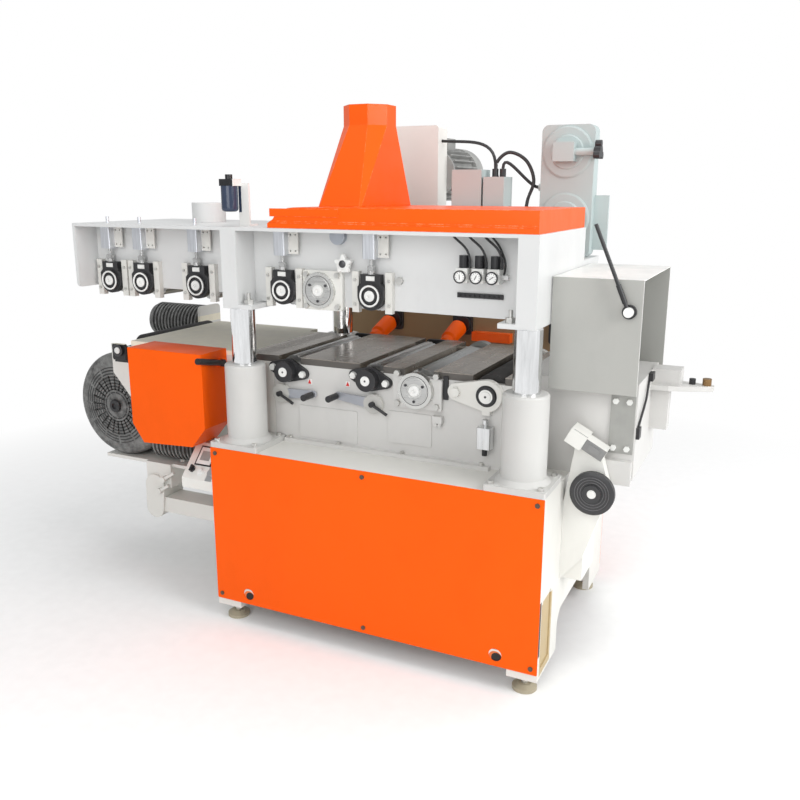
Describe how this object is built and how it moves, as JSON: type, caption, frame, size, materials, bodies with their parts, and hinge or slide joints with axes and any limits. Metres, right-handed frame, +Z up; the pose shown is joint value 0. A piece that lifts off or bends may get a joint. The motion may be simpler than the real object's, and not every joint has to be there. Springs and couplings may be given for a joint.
{
  "type": "double-sided planer",
  "caption": "Four-post double-sided wood planer with through feed: floating upper feed rollers, lower rollers, upper and lower cutterheads, suction chute and a head that lifts on chromed posts",
  "frame": {"origin": "on the floor under the middle of the machine's outline: halfway between the infeed motor's end and the pressure arm's tip, and halfway between the front screws and the rear motor's end", "axes": "+X runs with the feed from the infeed end to the outfeed end, +Y from the operator's side to the rear, +Z up"},
  "size_m": [2.652, 1.344, 1.922],
  "materials": {
    "base_paint": "light warm-grey gloss paint on cast iron",
    "orange_paint": "bright orange powder coat on folded sheet",
    "grey_paint": "grey-white enamel on welded plate",
    "white_paint": "off-white enamel on castings",
    "tan_paint": "oiled tan-brown plate",
    "table_iron": "ground cast iron with feed marks",
    "dark_iron": "black cast bearing housings",
    "machine_steel": "bright turned steel",
    "chrome_bar": "hard-chromed ground bar",
    "motor_alloy": "grey painted die-cast fins",
    "anodised": "clear anodised extrusion",
    "zinc_steel": "zinc-plated fasteners",
    "roller_rubber": "black vulcanised cover",
    "belt_rubber": "matt black belt",
    "black_plastic": "matt black moulded plastic",
    "hose_black": "black hose and cable jacket",
    "lever_paint": "off-white enamel on small castings"
  },
  "bodies": {
    "base": {"base_casting": "base_paint", "side_panels": "orange_paint", "base_fasteners": "zinc_steel", "levelling_feet": "zinc_steel", "column_sleeves": "white_paint", "lift_gear": "dark_iron", "lower_motor": "motor_alloy", "bed_frame": "grey_paint", "table_plates": "table_iron", "lower_bearings": "dark_iron", "infeed_bed": "white_paint", "infeed_guard": "orange_paint", "infeed_motor": "motor_alloy", "control_box": "white_paint", "gear_case": "tan_paint", "outfeed_bed": "grey_paint", "outfeed_hood": "grey_paint", "outfeed_cylinder": "anodised", "wheel_arm": "white_paint"},
    "head": {"head_frame": "grey_paint", "guide_posts": "chrome_bar", "head_fasteners": "zinc_steel", "top_cover": "orange_paint", "dust_chute": "orange_paint", "upper_cutter_housings": "white_paint", "roller_guides": "white_paint", "air_cylinders": "anodised", "air_regulators": "anodised", "cables_and_hoses": "hose_black", "belt_guard": "grey_paint", "drive_belts": "belt_rubber", "upper_motor": "motor_alloy", "drive_tower": "grey_paint"},
    "lower_cutterhead_body": {"lower_cutterhead": "machine_steel"},
    "lower_roller_1_body": {"lower_roller_1": "machine_steel"},
    "lower_roller_2_body": {"lower_roller_2": "machine_steel"},
    "cardan_shaft_1_body": {"cardan_shaft_1": "orange_paint"},
    "cardan_shaft_2_body": {"cardan_shaft_2": "orange_paint"},
    "outfeed_arm_body": {"outfeed_arm": "lever_paint"},
    "outfeed_roller_body": {"outfeed_roller": "roller_rubber"},
    "adjust_lever_1_body": {"adjust_lever_1": "lever_paint"},
    "adjust_lever_2_body": {"adjust_lever_2": "lever_paint"},
    "infeed_drum_body": {"infeed_drum": "roller_rubber"},
    "infeed_crank_body": {"infeed_crank": "black_plastic"},
    "selector_knob_body": {"selector_knob": "black_plastic"},
    "hand_wheel_body": {"hand_wheel": "dark_iron"},
    "guard_lever_body": {"guard_lever": "black_plastic"},
    "upper_cutterhead_body": {"upper_cutterhead": "machine_steel"},
    "upper_motor_pulley_body": {"upper_motor_pulley": "dark_iron"},
    "speed_knob_body": {"speed_knob": "black_plastic"},
    "roller_block_1_body": {"roller_block_1": "dark_iron"},
    "feed_roller_1_body": {"feed_roller_1": "machine_steel"},
    "roller_block_2_body": {"roller_block_2": "dark_iron"},
    "feed_roller_2_body": {"feed_roller_2": "machine_steel"},
    "roller_block_3_body": {"roller_block_3": "dark_iron"},
    "feed_roller_3_body": {"feed_roller_3": "machine_steel"},
    "roller_block_4_body": {"roller_block_4": "dark_iron"},
    "feed_roller_4_body": {"feed_roller_4": "machine_steel"},
    "roller_block_5_body": {"roller_block_5": "dark_iron"},
    "feed_roller_5_body": {"feed_roller_5": "machine_steel"}
  },
  "joints": [
    {"name": "head_lift", "type": "slide", "parent": "base", "child": "head", "axis": [0, 0, 1], "range_m": [-0.15, 0.04]},
    {"name": "lower_roller_1_spin", "type": "hinge", "parent": "base", "child": "lower_roller_1_body", "pos_m": [-0.136, -0.198, 0.975], "axis": [0, 1, 0], "continuous": true},
    {"name": "lower_roller_2_spin", "type": "hinge", "parent": "base", "child": "lower_roller_2_body", "pos_m": [0.207, -0.198, 0.975], "axis": [0, 1, 0], "continuous": true},
    {"name": "cardan_1_spin", "type": "hinge", "parent": "base", "child": "cardan_shaft_1_body", "pos_m": [-0.136, 0.1684, 0.975], "axis": [0, 0.9622, 0.2725], "continuous": true},
    {"name": "cardan_2_spin", "type": "hinge", "parent": "base", "child": "cardan_shaft_2_body", "pos_m": [0.207, 0.1684, 0.975], "axis": [0, 0.9622, 0.2725], "continuous": true},
    {"name": "infeed_drum_spin", "type": "hinge", "parent": "base", "child": "infeed_drum_body", "pos_m": [-0.964, -0.198, 0.975], "axis": [0, 1, 0], "continuous": true},
    {"name": "lower_cutterhead_spin", "type": "hinge", "parent": "base", "child": "lower_cutterhead_body", "pos_m": [0.394, -0.198, 0.957], "axis": [0, 1, 0], "continuous": true},
    {"name": "outfeed_arm_swing", "type": "hinge", "parent": "base", "child": "outfeed_arm_body", "pos_m": [0.541, -0.198, 0.966], "axis": [0, 1, 0], "range_deg": [-2, 3]},
    {"name": "outfeed_roller_spin", "type": "hinge", "parent": "outfeed_arm_body", "child": "outfeed_roller_body", "pos_m": [0.65, -0.198, 0.962], "axis": [0, 1, 0], "continuous": true},
    {"name": "adjust_lever_1_turn", "type": "hinge", "parent": "base", "child": "adjust_lever_1_body", "pos_m": [-0.17, -0.463, 0.885], "axis": [0, 1, 0], "range_deg": [-15, 20]},
    {"name": "adjust_lever_2_turn", "type": "hinge", "parent": "base", "child": "adjust_lever_2_body", "pos_m": [0.221, -0.463, 0.886], "axis": [0, 1, 0], "range_deg": [-20, 12]},
    {"name": "infeed_crank_turn", "type": "hinge", "parent": "base", "child": "infeed_crank_body", "pos_m": [-0.426, -0.508, 0.985], "axis": [1, 0, 0], "range_deg": [-40, 75]},
    {"name": "selector_turn", "type": "hinge", "parent": "base", "child": "selector_knob_body", "pos_m": [-0.508, -0.59999, 0.5677], "axis": [0, -0.7289, 0.6846], "range_deg": [-60, 60]},
    {"name": "hand_wheel_turn", "type": "hinge", "parent": "base", "child": "hand_wheel_body", "pos_m": [1.016, -0.468, 0.672], "axis": [0, 1, 0], "continuous": true},
    {"name": "guard_lever_turn", "type": "hinge", "parent": "base", "child": "guard_lever_body", "pos_m": [1.094, -0.478, 1.27], "axis": [0, 1, 0], "range_deg": [-8, 75]},
    {"name": "upper_cutterhead_spin", "type": "hinge", "parent": "head", "child": "upper_cutterhead_body", "pos_m": [0.029, -0.198, 1.286], "axis": [0, 1, 0], "continuous": true},
    {"name": "motor_pulley_spin", "type": "hinge", "parent": "head", "child": "upper_motor_pulley_body", "pos_m": [0.094, 0.277, 1.695], "axis": [0, 1, 0], "continuous": true},
    {"name": "speed_knob_turn", "type": "hinge", "parent": "head", "child": "speed_knob_body", "pos_m": [0.805, 0.06, 1.765], "axis": [1, 0, 0], "continuous": true},
    {"name": "roller_block_1_float", "type": "slide", "parent": "head", "child": "roller_block_1_body", "axis": [0, 0, 1], "range_m": [-0.006, 0.015]},
    {"name": "feed_roller_1_spin", "type": "hinge", "parent": "roller_block_1_body", "child": "feed_roller_1_body", "pos_m": [-0.924, -0.198, 1.279], "axis": [0, 1, 0], "continuous": true},
    {"name": "roller_block_2_float", "type": "slide", "parent": "head", "child": "roller_block_2_body", "axis": [0, 0, 1], "range_m": [-0.006, 0.015]},
    {"name": "feed_roller_2_spin", "type": "hinge", "parent": "roller_block_2_body", "child": "feed_roller_2_body", "pos_m": [-0.763, -0.198, 1.279], "axis": [0, 1, 0], "continuous": true},
    {"name": "roller_block_3_float", "type": "slide", "parent": "head", "child": "roller_block_3_body", "axis": [0, 0, 1], "range_m": [-0.006, 0.015]},
    {"name": "feed_roller_3_spin", "type": "hinge", "parent": "roller_block_3_body", "child": "feed_roller_3_body", "pos_m": [-0.497, -0.198, 1.279], "axis": [0, 1, 0], "continuous": true},
    {"name": "roller_block_4_float", "type": "slide", "parent": "head", "child": "roller_block_4_body", "axis": [0, 0, 1], "range_m": [-0.006, 0.015]},
    {"name": "feed_roller_4_spin", "type": "hinge", "parent": "roller_block_4_body", "child": "feed_roller_4_body", "pos_m": [-0.116, -0.198, 1.279], "axis": [0, 1, 0], "continuous": true},
    {"name": "roller_block_5_float", "type": "slide", "parent": "head", "child": "roller_block_5_body", "axis": [0, 0, 1], "range_m": [-0.006, 0.015]},
    {"name": "feed_roller_5_spin", "type": "hinge", "parent": "roller_block_5_body", "child": "feed_roller_5_body", "pos_m": [0.239, -0.198, 1.279], "axis": [0, 1, 0], "continuous": true}
  ],
  "couplings": [
    {"joint": "feed_roller_2_spin", "follows": "feed_roller_1_spin", "ratio": 1},
    {"joint": "feed_roller_3_spin", "follows": "feed_roller_1_spin", "ratio": 1},
    {"joint": "feed_roller_4_spin", "follows": "feed_roller_1_spin", "ratio": 1},
    {"joint": "feed_roller_5_spin", "follows": "feed_roller_1_spin", "ratio": 1},
    {"joint": "lower_roller_1_spin", "follows": "feed_roller_1_spin", "ratio": -1.1961},
    {"joint": "lower_roller_2_spin", "follows": "feed_roller_1_spin", "ratio": -1.1961},
    {"joint": "cardan_1_spin", "follows": "feed_roller_1_spin", "ratio": -1.1961},
    {"joint": "cardan_2_spin", "follows": "feed_roller_1_spin", "ratio": -1.1961},
    {"joint": "infeed_drum_spin", "follows": "feed_roller_1_spin", "ratio": -1.1961},
    {"joint": "motor_pulley_spin", "follows": "upper_cutterhead_spin", "ratio": 0.8}
  ]
}
